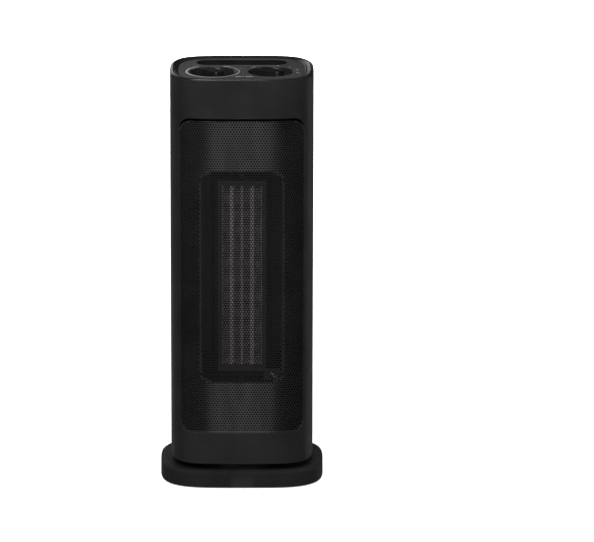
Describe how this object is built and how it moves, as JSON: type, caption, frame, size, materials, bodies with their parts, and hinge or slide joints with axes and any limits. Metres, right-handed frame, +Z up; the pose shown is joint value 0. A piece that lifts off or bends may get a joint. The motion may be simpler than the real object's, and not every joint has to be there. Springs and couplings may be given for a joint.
{
  "type": "ceramic tower heater",
  "caption": "Black ceramic tower heater that swings on a low base, with a perforated grille over its heating element, bar knobs set in bowls and a finger slot on top.",
  "frame": {"origin": "centre of the base on the surface it stands on", "axes": "+Z up, the grille faces -Y, +X to the right as seen from the front"},
  "size_m": [0.2076, 0.152, 0.532],
  "materials": {
    "black_housing": "satin",
    "gloss_rim": "gloss",
    "panel_grey": "fine matte",
    "grille_black": "satin",
    "inner_plastic": "matte",
    "knob_black": "satin",
    "rubber": "matte",
    "zinc_steel": "zinc plated",
    "aluminium": "brushed",
    "heat_resin": "matte",
    "pale_ceramic": "matte",
    "coil_wrap": "wrapped tape",
    "red_lens": "clear",
    "white_acetal": "smooth"
  },
  "bodies": {
    "base": {"base_cover": "black_housing", "base_plate": "inner_plastic", "foot_1": "rubber", "foot_2": "rubber", "foot_3": "rubber", "foot_4": "rubber", "base_screw_1": "zinc_steel", "base_screw_2": "zinc_steel", "base_screw_3": "zinc_steel", "swivel_post": "inner_plastic", "glide_ring": "white_acetal", "retaining_ring": "zinc_steel", "drive_arm": "zinc_steel", "tip_switch": "inner_plastic", "cord_gland": "rubber"},
    "plunger": {"tip_plunger": "white_acetal"},
    "tower": {"front_shell": "black_housing", "rear_shell": "black_housing", "grille_panel": "grille_black", "rear_grille": "grille_black", "dust_filter": "inner_plastic", "tower_floor": "inner_plastic", "swivel_bush": "white_acetal", "top_rim": "gloss_rim", "control_panel": "panel_grey", "pilot_lamp": "red_lens", "motor_shelf": "inner_plastic", "switch_shelf": "inner_plastic", "thermostat_body": "inner_plastic", "selector_body": "inner_plastic", "shell_screw_1": "zinc_steel", "shell_screw_2": "zinc_steel", "shell_screw_3": "zinc_steel", "shell_screw_4": "zinc_steel", "edge_rail_left": "zinc_steel", "edge_rail_right": "zinc_steel", "ceramic_bar_left": "aluminium", "ceramic_bar_right": "aluminium", "centre_strip": "aluminium", "fin_stack_1": "aluminium", "fin_stack_2": "aluminium", "fin_stack_3": "aluminium", "fin_stack_4": "aluminium", "heater_bracket": "heat_resin", "thermal_fuse": "pale_ceramic", "thermal_cutout": "inner_plastic", "duct_housing": "inner_plastic", "duct_cap": "inner_plastic", "motor_stator": "zinc_steel", "motor_coil": "coil_wrap", "motor_bracket_low": "zinc_steel", "motor_bracket_high": "zinc_steel", "top_bearing": "white_acetal", "oscillation_motor": "zinc_steel"},
    "fan": {"fan_wheel": "inner_plastic", "fan_shaft": "zinc_steel", "motor_rotor": "zinc_steel"},
    "drive_crank": {"crank": "white_acetal"},
    "thermostat_dial": {"thermostat_knob": "knob_black"},
    "selector_dial": {"selector_knob": "knob_black"}
  },
  "joints": [
    {"name": "oscillation", "type": "hinge", "parent": "base", "child": "tower", "pos_m": [0, 0, 0.031], "axis": [0, 0, 1], "range_deg": [-30, 30]},
    {"name": "plunger_slide", "type": "slide", "parent": "base", "child": "plunger", "axis": [0, 0, 1], "range_m": [-0.004, 0], "stiffness_N_per_m": 40, "springref_m": -0.004},
    {"name": "fan_spin", "type": "hinge", "parent": "tower", "child": "fan", "pos_m": [0, 0.014, 0.08], "axis": [0, 0, 1], "continuous": true},
    {"name": "crank_spin", "type": "hinge", "parent": "tower", "child": "drive_crank", "pos_m": [-0.045, 0, 0.05], "axis": [0, 0, 1], "continuous": true},
    {"name": "thermostat_turn", "type": "hinge", "parent": "tower", "child": "thermostat_dial", "pos_m": [-0.0367, -0.013, 0.52], "axis": [0, 0, 1], "range_deg": [0, 280]},
    {"name": "selector_turn", "type": "hinge", "parent": "tower", "child": "selector_dial", "pos_m": [0.0367, -0.013, 0.52], "axis": [0, 0, 1], "range_deg": [-150, 0]}
  ]
}
